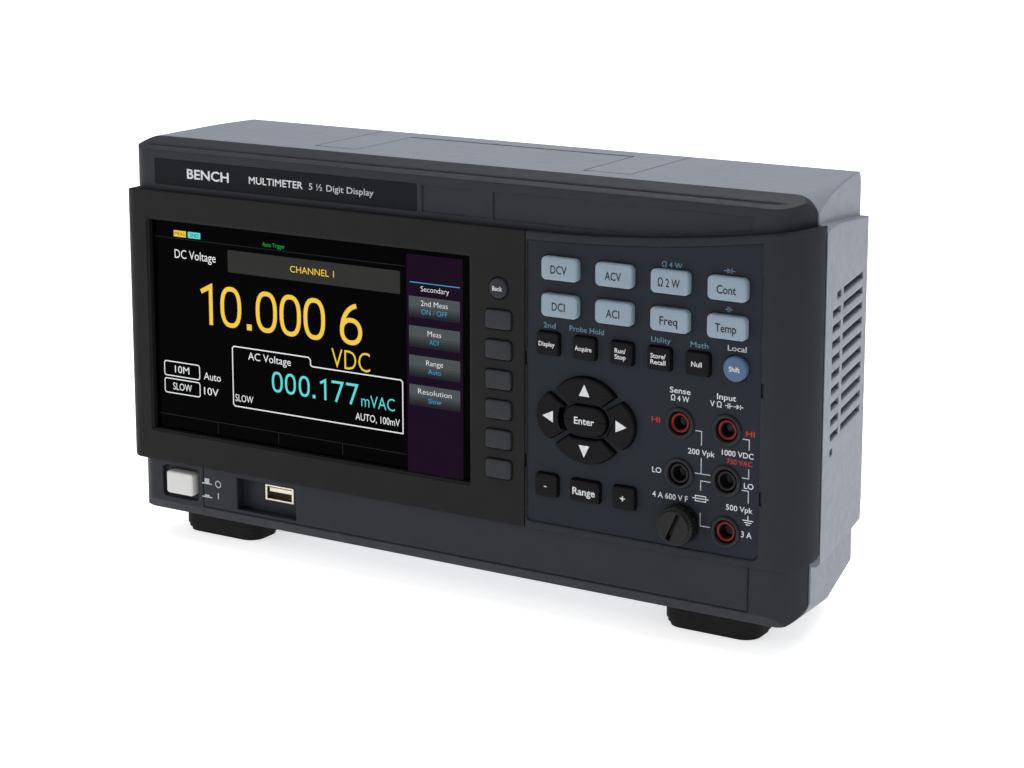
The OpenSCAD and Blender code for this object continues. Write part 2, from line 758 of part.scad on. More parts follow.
module key_back() color([0.34, 0.35, 0.37])
    round_key(soft_x, back_z, 4, -soft_proud, soft_flange_y, soft_flange_y + soft_flange_t);
module soft_key_1() soft_key(5);
module soft_key_2() soft_key(4);
module soft_key_3() soft_key(3);
module soft_key_4() soft_key(2);
module soft_key_5() soft_key(1);
module soft_key_6() soft_key(0);
module key_up() nav_key(0, 0, "rise");
module key_down() nav_key(0, 1, "rise");
module key_left() nav_key(1, 0, "side");
module key_right() nav_key(0, 0, "side");

module key_enter() color([0.1, 0.1, 0.11]) place() cap(-key_proud + 0.4, flange_y, flange_y + flange_t) {
    at(nav_x, nav_z) enter_outline();
    at(nav_x, nav_z) enter_outline(-0.4);
    at(nav_x, nav_z) enter_outline(0.5);
}

module key_range() color([0.1, 0.1, 0.11]) place() cap(-key_proud + 0.4, flange_y, flange_y + flange_t) {
    at(range_x, row_z) range_outline();
    at(range_x, row_z) range_outline(-0.4);
    at(range_x, row_z) range_outline(0.9);
}

rear_cover();
front_frame();
display_bezel();
keypad_frame();
keypad_panel();
title_plate();
display_window();
display_module();
key_membrane();
key_board();
main_board();
supply_board();
power_switch();
power_button();
usb_socket();
fuse_holder();
fuse();
fuse_cap();
sense_high_jack();
sense_low_jack();
input_high_jack();
input_low_jack();
current_jack();
mains_inlet();
data_socket();
network_socket();
handle();
handle_pins();
feet();
cover_screws();
key_back();
soft_key_1();
soft_key_2();
soft_key_3();
soft_key_4();
soft_key_5();
soft_key_6();
key_dc_volts();
key_ac_volts();
key_resistance();
key_continuity();
key_dc_current();
key_ac_current();
key_frequency();
key_temperature();
key_display();
key_acquire();
key_run_stop();
key_recall();
key_null();
key_shift();
key_up();
key_down();
key_left();
key_right();
key_enter();
key_minus();
key_range();
key_plus();
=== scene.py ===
import math

import bpy
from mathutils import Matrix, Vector


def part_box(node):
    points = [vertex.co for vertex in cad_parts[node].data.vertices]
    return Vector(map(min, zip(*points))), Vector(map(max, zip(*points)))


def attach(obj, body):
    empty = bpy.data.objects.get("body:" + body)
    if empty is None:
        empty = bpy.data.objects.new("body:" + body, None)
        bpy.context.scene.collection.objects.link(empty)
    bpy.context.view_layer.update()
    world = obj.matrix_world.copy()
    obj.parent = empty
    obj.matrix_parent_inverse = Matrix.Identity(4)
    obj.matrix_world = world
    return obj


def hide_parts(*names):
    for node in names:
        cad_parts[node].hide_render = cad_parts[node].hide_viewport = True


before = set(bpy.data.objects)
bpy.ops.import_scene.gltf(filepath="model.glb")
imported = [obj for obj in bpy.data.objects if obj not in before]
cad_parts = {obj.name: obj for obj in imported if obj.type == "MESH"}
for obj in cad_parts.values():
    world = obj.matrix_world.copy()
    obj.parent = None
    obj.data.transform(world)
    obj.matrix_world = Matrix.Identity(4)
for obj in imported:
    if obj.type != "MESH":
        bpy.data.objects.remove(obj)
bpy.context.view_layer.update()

MM = 0.001
CHASSIS = "chassis"
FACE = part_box("display_bezel")[0].y      # front plane of the raised band
scene = bpy.context.scene
scene.view_settings.view_transform = "Standard"


# ---------------------------------------------------------------- camera and stage

camera_data = bpy.data.cameras.new("camera")
camera = bpy.data.objects.new("camera", camera_data)
scene.collection.objects.link(camera)
camera_data.sensor_width = 36
camera_data.lens = 81.6
camera_data.shift_y = -0.146
camera.location = (0.4748, -0.7679, 0.3061)
camera.rotation_euler = (math.radians(90 - 10.51), 0, math.radians(31.08))
scene.camera = camera


# ---------------------------------------------------------------- materials

def tone(r, g, b, gain=1.0):
    """0 to 255 display colour to linear."""
    def line(c):
        c = c / 255
        return c / 12.92 if c <= 0.04045 else ((c + 0.055) / 1.055) ** 2.4
    return (line(r) * gain, line(g) * gain, line(b) * gain, 1)


class Nodes:
    """Small helper round a material's node tree."""

    def __init__(self, name):
        self.mat = bpy.data.materials.new(name)
        self.mat.use_nodes = True
        self.tree = self.mat.node_tree
        self.bsdf = self.tree.nodes["Principled BSDF"]
        self.coords = self.tree.nodes.new("ShaderNodeTexCoord").outputs["Object"]

    def add(self, kind, inputs=(), **attributes):
        node = self.tree.nodes.new(kind)
        for key, value in attributes.items():
            setattr(node, key, value)
        for key, value in dict(inputs).items():
            if isinstance(value, bpy.types.NodeSocket):
                self.tree.links.new(value, node.inputs[key])
            else:
                node.inputs[key].default_value = value
        return node

    def noise(self, scale, detail=2.0, stretch=None):
        source = self.coords
        if stretch:
            source = self.add("ShaderNodeMapping", {"Vector": source, "Scale": stretch}).outputs[0]
        node = self.add("ShaderNodeTexNoise", {"Vector": source, "Scale": scale, "Detail": detail})
        return node.outputs["Fac"]

    def remap(self, value, lo, hi, to_lo, to_hi):
        node = self.add("ShaderNodeMapRange", {"Value": value, "From Min": lo, "From Max": hi,
                                               "To Min": to_lo, "To Max": to_hi})
        return node.outputs[0]

    def mix(self, factor, a, b):
        node = self.add("ShaderNodeMix", data_type="RGBA")
        for key, value in ((0, factor), (6, a), (7, b)):
            if isinstance(value, bpy.types.NodeSocket):
                self.tree.links.new(value, node.inputs[key])
            else:
                node.inputs[key].default_value = value
        return node.outputs[2]

    def set(self, **inputs):
        for key, value in inputs.items():
            socket = self.bsdf.inputs[key.replace("_", " ")]
            if isinstance(value, bpy.types.NodeSocket):
                self.tree.links.new(value, socket)
            else:
                socket.default_value = value


def finish_of(name, colour, rough=0.5, spec=0.35, edge=0.5, grain=2600, depth=0.00004, patch=0.06,
              edge_wear_and_sheen=0.12, metal=0.0, stretch=None):
    """Moulded or painted finish: patchy colour, fine grain, rounded edges lightened partly as slight wear and
    partly as a painted highlight.
    """
    n = Nodes(name)
    base = tone(*colour)
    dark = tuple(c * (1 - patch) for c in base[:3]) + (1,)
    pale = tuple(min(1, c * (1 + patch)) for c in base[:3]) + (1,)
    cloudy = n.mix(n.remap(n.noise(55, 4), 0.3, 0.7, 0, 1), dark, pale)
    speck = n.noise(grain, 3, stretch)
    # lighter tone on the rounded edges: partly wear, partly a painted highlight standing in for sheen on the edges
    edge_wear_and_sheen_tone = tuple(min(1, c * (1 + 2.2 * edge_wear_and_sheen) + 0.05 * edge_wear_and_sheen) for c in base[:3]) + (1,)
    round_edge = n.add("ShaderNodeBevel", {"Radius": edge * MM}, samples=4)
    sharp = n.add("ShaderNodeNewGeometry").outputs["Normal"]
    turn = n.add("ShaderNodeVectorMath", {0: round_edge.outputs[0], 1: sharp}, operation="DOT_PRODUCT")
    # edge mask from the rounded normal; with the scuff noise it places the wear and the painted edge highlight
    edge_rub_and_sheen = n.remap(turn.outputs["Value"], 0.985, 0.86, 0, 1)
    scuffs = n.remap(n.noise(420, 5), 0.42, 0.68, 0, 1)
    edge_rub_and_sheen_mask = n.add("ShaderNodeMath", {0: edge_rub_and_sheen, 1: scuffs}, operation="MULTIPLY").outputs[0]
    bump = n.add("ShaderNodeBump", {"Height": speck, "Distance": depth, "Strength": 0.6,
                                    "Normal": round_edge.outputs[0]})
    n.set(Base_Color=n.mix(edge_rub_and_sheen_mask, cloudy, edge_wear_and_sheen_tone), Normal=bump.outputs[0], Metallic=metal,
          Roughness=n.remap(n.noise(260, 4), 0.3, 0.7, rough - 0.05, rough + 0.06),
          Specular_IOR_Level=spec)
    return n.mat


def glow(name, colour):
    """Lit picture element with a faint pixel structure."""
    n = Nodes(name)
    lit = tone(*colour)
    dim = tuple(c * 0.86 for c in lit[:3]) + (1,)
    pixels = n.add("ShaderNodeTexChecker", {"Vector": n.coords, "Scale": 5200}).outputs["Fac"]
    cloud = n.remap(n.noise(90, 2), 0.3, 0.7, 0, 0.6)
    blend = n.add("ShaderNodeMath", {0: pixels, 1: cloud}, operation="MULTIPLY").outputs[0]
    picture = n.mix(blend, lit, dim)
    n.set(Base_Color=(0, 0, 0, 1), Emission_Color=picture, Roughness=0.3, Specular_IOR_Level=0.0)
    n.set(Emission_Strength=1.0)
    return n.mat


def ink(name, colour, rough=0.55):
    """Screen-printed ink: slightly uneven cover and a soft sheen."""
    n = Nodes(name)
    full = tone(*colour)
    thin = tuple(c * 0.8 for c in full[:3]) + (1,)
    cover = n.remap(n.noise(1500, 4), 0.35, 0.65, 0, 1)
    bump = n.add("ShaderNodeBump", {"Height": n.noise(4000, 2), "Distance": 0.00001, "Strength": 0.4})
    n.set(Base_Color=n.mix(cover, thin, full), Specular_IOR_Level=0.25, Normal=bump.outputs[0],
          Roughness=n.remap(n.noise(900, 2), 0.3, 0.7, rough - 0.08, rough + 0.08))
    return n.mat


def board_finish(name, colour):
    """Circuit board: solder mask with faint tracks."""
    n = Nodes(name)
    mask = tone(*colour)
    track = tuple(min(1, c * 1.7 + 0.01) for c in mask[:3]) + (1,)
    lines = n.add("ShaderNodeTexBrick", {"Vector": n.coords, "Scale": 160, "Mortar Size": 0.03,
                                         "Color1": (0, 0, 0, 1), "Color2": (0.25, 0.25, 0.25, 1),
                                         "Mortar": (1, 1, 1, 1)})
    bump = n.add("ShaderNodeBump", {"Height": lines.outputs["Fac"], "Distance": 0.00004, "Strength": 0.5})
    n.set(Base_Color=n.mix(lines.outputs["Color"], mask, track), Normal=bump.outputs[0],
          Roughness=n.remap(n.noise(500, 3), 0.3, 0.7, 0.3, 0.45), Specular_IOR_Level=0.4)
    return n.mat


COVER = finish_of("cover_grey", (111, 116, 125), 0.52, 0.3, 1.4, 2400, 0.00005, 0.03, 0.1)
HANDLE = finish_of("handle_grey", (113, 118, 127), 0.5, 0.3, 1.3, 2400, 0.00005, 0.03, 0.12)
FRAME = finish_of("bezel_charcoal", (36, 38, 44), 0.5, 0.15, 1.2, 2600, 0.00006, 0.06, 0.12)
BEZEL = finish_of("bezel_black", (27, 27, 28), 0.48, 0.08, 0.9, 2600, 0.00006, 0.06, 0.12)
KEYFRAME = finish_of("keyframe_charcoal", (28, 30, 35), 0.38, 0.16, 1.6, 2600, 0.00006, 0.06, 0.12)
PANEL = finish_of("panel_slate", (36, 40, 46), 0.6, 0.06, 0.2, 5200, 0.00003, 0.04, 0.05)
PLATE = finish_of("plate_black", (21, 22, 26), 0.42, 0.06, 0.25, 5200, 0.00002, 0.04, 0.05)
# painted shade: near-black put in the deep bottoms and inner walls of the jack holes, where shade falls
SHADOW = finish_of("painted_shade_black", (14, 14, 15), 0.7, 0.15, 0.1, 3000, 0.00003, 0.05, 0.0)
LENS = finish_of("screen_glass", (1, 1, 1), 0.16, 0.01, 0.15, 700, 0.000002, 0.1, 0.0)
METAL = finish_of("panel_metal", (165, 168, 172), 0.4, 0.5, 0.3, 1200, 0.00003, 0.05, 0.1, metal=1.0)
SHELL = finish_of("shell_metal", (196, 190, 178), 0.3, 0.5, 0.25, 900, 0.00002, 0.05, 0.1, metal=1.0)
STEEL = finish_of("pin_steel", (176, 178, 182), 0.3, 0.5, 0.2, 900, 0.00002, 0.04, 0.1, metal=1.0,
                  stretch=(1, 6, 1))
MEMBRANE = finish_of("membrane_grey", (66, 68, 73), 0.7, 0.15, 0.3, 1800, 0.00004, 0.06, 0.0)
MOULDED = finish_of("moulded_black", (20, 20, 22), 0.45, 0.15, 0.3, 3000, 0.00004, 0.06, 0.1)
KNOB = finish_of("knob_black", (16, 17, 17), 0.38, 0.18, 0.35, 3000, 0.00004, 0.06, 0.15)
BUTTON = finish_of("button_white", (198, 198, 196), 0.42, 0.3, 0.5, 3000, 0.00003, 0.02, 0.05)
FUSE_WHITE = finish_of("fuse_white", (225, 224, 216), 0.35, 0.4, 0.2, 1500, 0.00003, 0.03, 0.0)
JACK_RED = finish_of("jack_red", (98, 10, 15), 0.36, 0.2, 0.25, 3000, 0.00003, 0.05, 0.1)
JACK_BLACK = finish_of("jack_black", (14, 14, 15), 0.36, 0.2, 0.25, 3000, 0.00003, 0.06, 0.1)
JACK_RING = finish_of("jack_collar", (22, 23, 26), 0.42, 0.2, 0.25, 3000, 0.00003, 0.06, 0.15)
RUBBER = finish_of("foot_rubber", (20, 20, 21), 0.75, 0.2, 0.8, 1500, 0.00009, 0.08, 0.05)
SOFT_GREY = finish_of("soft_key_grey", (40, 42, 46), 0.55, 0.15, 0.4, 2400, 0.00006, 0.05, 0.12)
KEY_LIGHT = finish_of("key_light", (124, 140, 152), 0.5, 0.22, 0.4, 2400, 0.00006, 0.03, 0.12)
KEY_DARK = finish_of("key_dark", (19, 18, 20), 0.5, 0.06, 0.4, 2400, 0.00006, 0.06, 0.12)
KEY_BLUE = finish_of("key_blue", (69, 92, 122), 0.45, 0.2, 0.4, 2400, 0.00005, 0.03, 0.1)
GREEN_BOARD = board_finish("board_green", (22, 84, 50))
BLUE_BOARD = board_finish("board_blue", (24, 60, 96))

INK_WHITE = ink("ink_white", (205, 208, 212))
INK_GREY = ink("ink_grey", (176, 180, 186))
INK_DARK = ink("ink_dark", (24, 26, 30))
INK_BLUE = ink("ink_blue", (92, 122, 142))
INK_RED = ink("ink_red", (178, 34, 38))

LIT_YELLOW = glow("lit_yellow", (246, 205, 70))
LIT_TEAL = glow("lit_teal", (96, 222, 220))
LIT_WHITE = glow("lit_white", (236, 238, 240))
LIT_GREEN = glow("lit_green", (40, 160, 70))
LIT_BLUE = glow("lit_blue", (70, 160, 200))
LIT_GREY = glow("lit_grey", (52, 52, 50))
LIT_LINE = glow("lit_line", (40, 42, 44))
LIT_PLUM = glow("lit_plum", (30, 17, 34))

CAD_FINISH = {
    "rear_cover": COVER, "front_frame": FRAME, "display_bezel": BEZEL, "keypad_frame": KEYFRAME,
    "keypad_panel": PANEL, "title_plate": PLATE, "display_window": LENS, "display_module": METAL,
    "key_membrane": MEMBRANE, "key_board": GREEN_BOARD, "main_board": GREEN_BOARD,
    "supply_board": BLUE_BOARD, "power_switch": MOULDED, "power_button": BUTTON, "usb_socket": SHELL,
    "fuse_holder": MOULDED, "fuse": FUSE_WHITE, "fuse_cap": KNOB, "mains_inlet": MOULDED,
    "data_socket": SHELL, "network_socket": SHELL, "handle": HANDLE, "handle_pins": STEEL,
    "feet": RUBBER, "cover_screws": STEEL,
}
for name, finish in CAD_FINISH.items():
    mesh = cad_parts[name].data
    mesh.materials.clear()
    mesh.materials.append(finish)


# ---------------------------------------------------------------- mesh code

def spot(x, y, z):
    """A point in millimetres: across, behind the band's face, above the table."""
    return Vector((x * MM, FACE + y * MM, z * MM))


def middle(node):
    """Centre of a CAD node, across and up, in millimetres."""
    lo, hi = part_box(node)
    return (lo.x + hi.x) / 2 / MM, (lo.z + hi.z) / 2 / MM


def front_of(node):
    return (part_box(node)[0].y - FACE) / MM


class Piece:
    """Gathers faces of several finishes into one object."""

    def __init__(self):
        self.points, self.faces, self.slots, self.soft, self.finishes = [], [], [], [], []

    def face_set(self, points, faces, finish, soft=False):
        if finish not in self.finishes:
            self.finishes.append(finish)
        k = len(self.points)
        self.points += [spot(*p) for p in points]
        self.faces += [[k + i for i in f] for f in faces]
        self.slots += [self.finishes.index(finish)] * len(faces)
        self.soft += [soft] * len(faces)

    def finish(self, name, body, slot, replaces=()):
        mesh = bpy.data.meshes.new(name)
        mesh.from_pydata(self.points, [], self.faces)
        for finish in self.finishes:
            mesh.materials.append(finish)
        mesh.polygons.foreach_set("material_index", self.slots)
        mesh.polygons.foreach_set("use_smooth", self.soft)
        mesh.validate()
        thing = bpy.data.objects.new(name, mesh)
        scene.collection.objects.link(thing)
        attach(thing, body)
        if replaces:
            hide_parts(*replaces)
        return thing


def rounded(w, h, r, cx=0.0, cz=0.0, steps=7):
    """Outline of a rounded rectangle, anticlockwise seen from the front."""
    out = []
    for sx, sz, start in ((1, 1, 0), (-1, 1, 90), (-1, -1, 180), (1, -1, 270)):
        for k in range(steps + 1):
            a = math.radians(start + 90 * k / steps)
            out.append((cx + sx * (w / 2 - r) + r * math.cos(a), cz + sz * (h / 2 - r) + r * math.sin(a)))
    return out


def ring(r, cx=0.0, cz=0.0, n=72):
    return [(cx + r * math.cos(2 * math.pi * k / n), cz + r * math.sin(2 * math.pi * k / n)) for k in range(n)]


def traced(inside, cx, cz, n=150, reach=24):
    """Outline of any shape that can be seen whole from (cx, cz)."""
    out = []
    for k in range(n):
        a = 2 * math.pi * k / n
        lo, hi = 0.0, reach
        for _ in range(24):
            mid = (lo + hi) / 2
            if inside(cx + mid * math.cos(a), cz + mid * math.sin(a)):
                lo = mid
            else:
                hi = mid
        out.append((cx + lo * math.cos(a), cz + lo * math.sin(a)))
    return out


def shrunk(outline, d):
    """The outline moved inwards by d."""
    out, n = [], len(outline)
    for k in range(n):
        a, b, c = outline[k - 1], outline[k], outline[(k + 1) % n]
        e = Vector((b[0] - a[0], b[1] - a[1]))
        f = Vector((c[0] - b[0], c[1] - b[1]))
        e = e.normalized() if e.length > 1e-6 else f.normalized()
        f = f.normalized() if f.length > 1e-6 else e
        t = (e + f).normalized()
        grow = d / max(0.6, t.dot(e))
        out.append((b[0] - t.y * grow, b[1] + t.x * grow))
    return out


def stacked(piece, layers, finish, soft=True, close=True):
    """Skin over outlines at given depths; the last one is closed."""
    n = len(layers[0][0])
    points = [(x, y, z) for outline, y in layers for x, z in outline]
    faces = []
    for k in range(len(layers) - 1):
        for i in range(n):
            j = (i + 1) % n
            faces.append([k * n + i, k * n + j, (k + 1) * n + j, (k + 1) * n + i])
    piece.face_set(points, faces, finish, soft)
    if close:
        top = len(layers) - 1
        piece.face_set([(x, layers[-1][1], z) for x, z in layers[-1][0]], [list(range(n))], finish, soft)


def cap(piece, outline, back, front, finish, fillet=0.7, dish=0.0, centre=None):
    """Key cap: straight sides, a rounded front edge and a slightly crowned face."""
    layers = [(outline, back), (outline, front + fillet + dish)]
    for k in range(1, 6):
        a = math.pi / 2 * k / 5
        layers.append((shrunk(outline, fillet * (1 - math.cos(a))), front + dish + fillet * (1 - math.sin(a))))
    if centre and dish:
        rim = layers[-1][0]
        for t in (0.72, 0.4, 0.12):
            layers.append(([(centre[0] + (x - centre[0]) * t, centre[1] + (z - centre[1]) * t) for x, z in rim],
                           front + dish * t * t))
    stacked(piece, layers, finish)


def turned(piece, cx, cz, profile, finish, n=64, soft=True):
    """Surface of revolution about the front-to-back axis; profile is (radius, depth) pairs."""
    points, faces = [], []
    for r, y in profile:
        points += [(px, y, pz) for px, pz in ring(r, cx, cz, n)]
    for k in range(len(profile) - 1):
        for i in range(n):
            j = (i + 1) % n
            faces.append([k * n + i, k * n + j, (k + 1) * n + j, (k + 1) * n + i])
    piece.face_set(points, faces, finish, soft)


def brick(piece, x0, x1, y0, y1, z0, z1, finish):
    p = [(x, y, z) for x in (x0, x1) for y in (y0, y1) for z in (z0, z1)]
    piece.face_set(p, [[0, 1, 3, 2], [4, 6, 7, 5], [0, 4, 5, 1], [2, 3, 7, 6], [0, 2, 6, 4],
                       [1, 5, 7, 3]], finish)


# ---------------------------------------------------------------- lettering and line work

def glyphs(text, weight):
    curve = bpy.data.curves.new("words", "FONT")
    curve.body = text
    curve.size = 1
    curve.offset = weight
    curve.resolution_u = 3
    holder = bpy.data.objects.new("words", curve)
    scene.collection.objects.link(holder)
    mesh = bpy.data.meshes.new_from_object(holder.evaluated_get(bpy.context.evaluated_depsgraph_get()))
    points = [(v.co.x, v.co.y) for v in mesh.vertices]
    faces = [list(f.vertices) for f in mesh.polygons]
    bpy.data.objects.remove(holder)
    bpy.data.curves.remove(curve)
    bpy.data.meshes.remove(mesh)
    return points, faces


CAP_HEIGHT = max(p[1] for p in glyphs("H", 0)[0])


def words(piece, text, x, z, high, finish, y, wide=None, align=0, weight=0.0):
    """Flat lettering; x is its left end, middle or right end for align -1, 0 or 1, z its base line."""
    points, faces = glyphs(text, weight)
    left, right = min(p[0] for p in points), max(p[0] for p in points)
    tall = high / CAP_HEIGHT
    along = wide / (right - left) if wide else tall
    start = x - (align + 1) / 2 * (right - left) * along
    piece.face_set([(start + (px - left) * along, y, z + pz * tall) for px, pz in points], faces, finish)


def stroke(piece, path, width, finish, y, closed=False):
    """A drawn line of even width with mitred corners."""
    n = len(path)
    sides = []
    for k in range(n):
        a = Vector(path[k - 1]) if (k or closed) else None
        b = Vector(path[k])
        c = Vector(path[(k + 1) % n]) if (k < n - 1 or closed) else None
        e = (b - a).normalized() if a is not None else (c - b).normalized()
        f = (c - b).normalized() if c is not None else e
        t = (e + f).normalized() if (e + f).length > 1e-6 else e
        out = Vector((-t.y, t.x)) * (width / 2 / max(0.4, t.dot(e)))
        sides.append((b + out, b - out))
    points = [(p.x, y, p.y) for pair in sides for p in pair]
    last = n if closed else n - 1
    faces = [[2 * k, 2 * k + 1, (2 * k + 3) % (2 * n), (2 * k + 2) % (2 * n)] for k in range(last)]
    piece.face_set(points, faces, finish)


def oval(x0, x1, z0, z1, n=56, square=2.5):
    """Closed superellipse path inside a box."""
    path = []
    for k in range(n):
        c, d = math.cos(2 * math.pi * k / n), math.sin(2 * math.pi * k / n)
        path.append(((x0 + x1) / 2 + (x1 - x0) / 2 * math.copysign(abs(c) ** (2 / square), c),
                     (z0 + z1) / 2 + (z1 - z0) / 2 * math.copysign(abs(d) ** (2 / square), d)))
    return path


def numeral(piece, digit, x0, x1, z0, z1, width, finish, y):
    """One digit or point drawn with a stroke of even width, filling the box it is given."""
    if digit == ".":
        patch(piece, [(x0, z0), (x1, z0), (x1, z0 + x1 - x0), (x0, z0 + x1 - x0)], finish, y)
        return
    h = width / 2
    x0, x1, z0, z1 = x0 + h, x1 - h, z0 + h, z1 - h
    w, t = x1 - x0, z1 - z0
    if digit == "0":
        stroke(piece, oval(x0, x1, z0, z1), width, finish, y, True)
    elif digit == "1":
        stroke(piece, [(x0, z1 - 0.17 * t), (x1, z1), (x1, z0 - h)], width, finish, y)
    elif digit == "7":
        stroke(piece, [(x0 - h, z1), (x1, z1), (x0 + 0.32 * w, z0 - h)], width, finish, y)
    elif digit == "6":
        stroke(piece, oval(x0, x1, z0, z0 + 0.6 * t, square=2.2), width, finish, y, True)
        sweep = [(x0 + w * (1 - math.sin(math.radians(a))) * 0.93,
                  z0 + 0.3 * t + 0.7 * t * math.cos(math.radians(a))) for a in range(8, 91, 6)]
        stroke(piece, sweep, width, finish, y)


def patch(piece, outline, finish, y):
    piece.face_set([(x, y, z) for x, z in outline], [list(range(len(outline)))], finish)


def arrow(piece, cx, cz, size, turn, finish, y):
    shape = []
    for px, pz in ((0, 0.62), (-0.55, -0.5), (0.55, -0.5)):
        a = math.radians(turn)
        shape.append((cx + size * (px * math.cos(a) - pz * math.sin(a)),
                      cz + size * (px * math.sin(a) + pz * math.cos(a))))
    patch(piece, shape, finish, y)


# ---------------------------------------------------------------- keys

LIFT = 0.03       # print sits this far in front of what it is printed on


def legend(piece, lines, x, z, high, finish, y, wide=None, weight=0.0, gap=1.35):
    top = z + (len(lines) - 1) * high * gap / 2 - high / 2
    for k, line in enumerate(lines):
        words(piece, line, x, top - k * high * gap, high, finish, y, wide, 0, weight)


def function_key(node, label, wide):
    x, z = middle(node)
    front = front_of(node)
    piece = Piece()
    cap(piece, rounded(15.5, 8.8, 1.9, x, z), 3.4, front, KEY_LIGHT, 0.9, 0.15, (x, z))
    legend(piece, [label], x, z - 0.2, 3.0, INK_DARK, front - LIFT, wide, 0.012)
    piece.finish("cap_of_" + node, node + "_body", "key_light", [node])


for node, label, wide in (("key_dc_volts", "DCV", 6.9), ("key_ac_volts", "ACV", 6.8),
                          ("key_resistance", "Ω 2 W", 8.9), ("key_continuity", "Cont", 7.6),
                          ("key_dc_current", "DCI", 5.6), ("key_ac_current", "ACI", 5.6),
                          ("key_frequency", "Freq", 7.2), ("key_temperature", "Temp", 8.4)):
    function_key(node, label, wide)


def small_key(node, lines, high, wide, w=9.4):
    x, z = middle(node)
    front = front_of(node)
    piece = Piece()
    cap(piece, rounded(w, 8.6 if w < 10 else 8.2, 1.1, x, z), 3.4, front, KEY_DARK, 0.6, 0.1, (x, z))
    legend(piece, lines, x, z, high, INK_WHITE, front - LIFT, wide, 0.015)
    piece.finish("cap_of_" + node, node + "_body", "key_dark", [node])


small_key("key_display", ["Display"], 1.7, 6.9)
small_key("key_acquire", ["Acquire"], 1.7, 7.1)
small_key("key_run_stop", ["Run/", "Stop"], 1.7, 4.6)
small_key("key_recall", ["Store/", "Recall"], 1.7, 6.2)
small_key("key_null", ["Null"], 1.8, 4.2)
small_key("key_minus", ["-"], 2.2, 1.2)
small_key("key_plus", ["+"], 2.6, 2.1)
small_key("key_range", ["Range"], 2.7, 9.6, 12.4)


def round_cap(node, r, finish, slot, back, label, high, wide, printed):
    x, z = middle(node)
    front = front_of(node)
    piece = Piece()
    cap(piece, ring(r, x, z), back, front, finish, 0.8, 0.2, (x, z))
    legend(piece, [label], x, z, high, printed, front - LIFT, wide, 0.012)
    piece.finish("cap_of_" + node, node + "_body", slot, [node])


round_cap("key_shift", 4.7, KEY_BLUE, "key_blue", 3.4, "Shift", 1.8, 4.4, INK_WHITE)
round_cap("key_back", 4.0, SOFT_GREY, "soft_key_grey", 4.4, "Back", 1.7, 4.4, INK_WHITE)

for k in range(1, 7):
    node = "soft_key_%d" % k
    x, z = middle(node)
    piece = Piece()
    cap(piece, rounded(11.4, 7.4, 1.4, x, z), 4.4, front_of(node), SOFT_GREY, 0.7, 0.1, (x, z))
    piece.finish("cap_of_" + node, node + "_body", "soft_key_grey", [node])


def in_enter(x, z, g):
    a, b, r = 9.15 + g, 5.6 + g, 5.59 + g
    dx, dz = max(0, abs(x) - (a - r)), max(0, abs(z) - (b - r))
    return dx * dx + dz * dz < r * r


def in_rise(x, z):
    return (x * x + z * z < 16.5 ** 2 and z - 1.1 > abs(x) / math.tan(math.radians(52.7))
            and not in_enter(x, z, 1.5))


def in_side(x, z):
    return ((x - 10.8) ** 2 + z * z < 10.1 ** 2 and x - 1.1 > abs(z) / math.tan(math.radians(32.3))
            and not in_enter(x, z, 1.5))


nav_x, nav_z = middle("key_enter")
for node, shape, turn, ax, az in (("key_up", traced(in_rise, 0, 11.7), 0, 0, 11.6),
                                  ("key_down", traced(in_rise, 0, 11.7), 180, 0, -11.4),
                                  ("key_right", traced(in_side, 15.3, 0), 0, 15.4, 0),
                                  ("key_left", traced(in_side, 15.3, 0), 180, -15.4, 0)):
    sign = -1 if turn else 1
    outline = [(nav_x + sign * px, nav_z + sign * pz) for px, pz in shape]
    front = front_of(node)
    piece = Piece()
    cap(piece, outline, 3.4, front, KEY_DARK, 0.7)
    pointing = {"key_up": 0, "key_down": 180, "key_right": 270, "key_left": 90}[node]
    arrow(piece, nav_x + ax, nav_z + az, 4.1, pointing, INK_WHITE, front - LIFT)
    piece.finish("cap_of_" + node, node + "_body", "key_dark", [node])

front = front_of("key_enter")
piece = Piece()
cap(piece, rounded(18.3, 11.2, 5.59, nav_x, nav_z, 14), 3.4, front, KEY_DARK, 0.8, 0.15, (nav_x, nav_z))
legend(piece, ["Enter"], nav_x, nav_z, 2.6, INK_WHITE, front - LIFT, 8.6, 0.015)
piece.finish("cap_of_key_enter", "key_enter_body", "key_dark", ["key_enter"])


# ---------------------------------------------------------------- jacks, fuse knob, button

def jack(node, inner, slot):
    x, z = middle(node)
    piece = Piece()
    turned(piece, x, z, [(5.2, 20), (5.2, 0.4), (5.9, 0.4), (5.9, 0.1), (5.82, -0.12), (5.6, -0.3), (5.3, -0.4),
                         (4.95, -0.4), (4.6, -0.25), (4.3, 0.2), (4.3, 14)], JACK_RING)
    # painted shade on the bottom of the ring recess
    turned(piece, x, z, [(4.3, 14), (2.6, 14)], SHADOW)
    turned(piece, x, z, [(3.1, 14), (3.75, 6), (3.8, 1.0), (3.7, 0.72), (3.5, 0.6), (3.05, 0.6), (2.8, 0.75),
                         (2.65, 1.3)], inner)
    # painted shade on the inner wall of the sleeve, down to the contact
    turned(piece, x, z, [(2.65, 1.3), (2.3, 4.6), (2.0, 5)], SHADOW)
    turned(piece, x, z, [(2.0, 5), (2.0, 13.9), (0.01, 14)], STEEL)
    turned(piece, x, z, [(5.2, 20), (0.01, 20)], JACK_RING, soft=False)
    brick(piece, x - 1, x + 1, 19.5, 26, z - 0.5, z + 0.5, STEEL)
    piece.finish("socket_of_" + node, CHASSIS, slot, [node])


for node in ("sense_high_jack", "input_high_jack", "current_jack"):
    jack(node, JACK_RED, "jack_red")
for node in ("sense_low_jack", "input_low_jack"):
    jack(node, JACK_BLACK, "jack_black")


